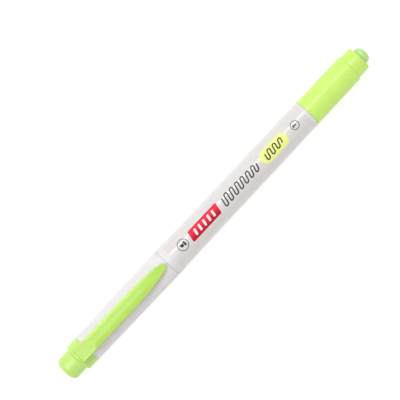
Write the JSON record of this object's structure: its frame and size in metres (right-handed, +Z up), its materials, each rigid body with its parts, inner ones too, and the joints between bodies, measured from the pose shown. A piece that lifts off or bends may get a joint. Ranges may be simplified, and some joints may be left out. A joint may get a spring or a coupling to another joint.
{
  "type": "double-ended highlighter",
  "caption": "Pen-shaped highlighter with a chisel nib at one end and a fine nib at the other, each under a pull-off cap; the chisel cap is frosted and has a pocket clip.",
  "frame": {"origin": "middle of the capped pen, on the surface it lies on", "axes": "+X along the pen towards the fine nib, +Z up, through the middle of the pocket clip"},
  "size_m": [0.146, 0.0112, 0.0133],
  "materials": {
    "barrel_plastic": "frosted, milky",
    "pearl_film": "pearl lacquer, satin",
    "white_plastic": "moulded, semi-matte",
    "nib_felt": "dense fibre, fluorescent, damp",
    "inked_fibre": "soft fibre, soaked",
    "clear_film": "clear film",
    "frosted_plastic": "frosted, translucent",
    "green_plastic": "moulded, semi-gloss",
    "button_green_plastic": "moulded, slightly translucent"
  },
  "bodies": {
    "pen": {"barrel": "barrel_plastic", "barrel_film": "pearl_film", "chisel_section": "white_plastic", "fine_section": "white_plastic", "chisel_nib": "nib_felt", "fine_nib": "nib_felt", "ink_reservoir": "inked_fibre", "reservoir_sleeve": "clear_film"},
    "chisel_cap": {"chisel_cap_tube": "frosted_plastic", "chisel_cap_plug": "green_plastic", "chisel_cap_inner_cup": "white_plastic"},
    "clip_blade": {"clip": "green_plastic"},
    "fine_cap": {"fine_cap_shell": "green_plastic", "fine_cap_inner_cup": "white_plastic", "fine_cap_plug": "button_green_plastic"}
  },
  "joints": [
    {"name": "chisel_cap_pull", "type": "slide", "parent": "pen", "child": "chisel_cap", "axis": [-1, 0, 0], "range_m": [0, 0.045]},
    {"name": "fine_cap_pull", "type": "slide", "parent": "pen", "child": "fine_cap", "axis": [1, 0, 0], "range_m": [0, 0.036]},
    {"name": "clip_flex", "type": "hinge", "parent": "chisel_cap", "child": "clip_blade", "pos_m": [-0.0647, 0, 0.01118], "axis": [0, -1, 0], "range_deg": [0, 6], "stiffness_Nm_per_rad": 3}
  ]
}
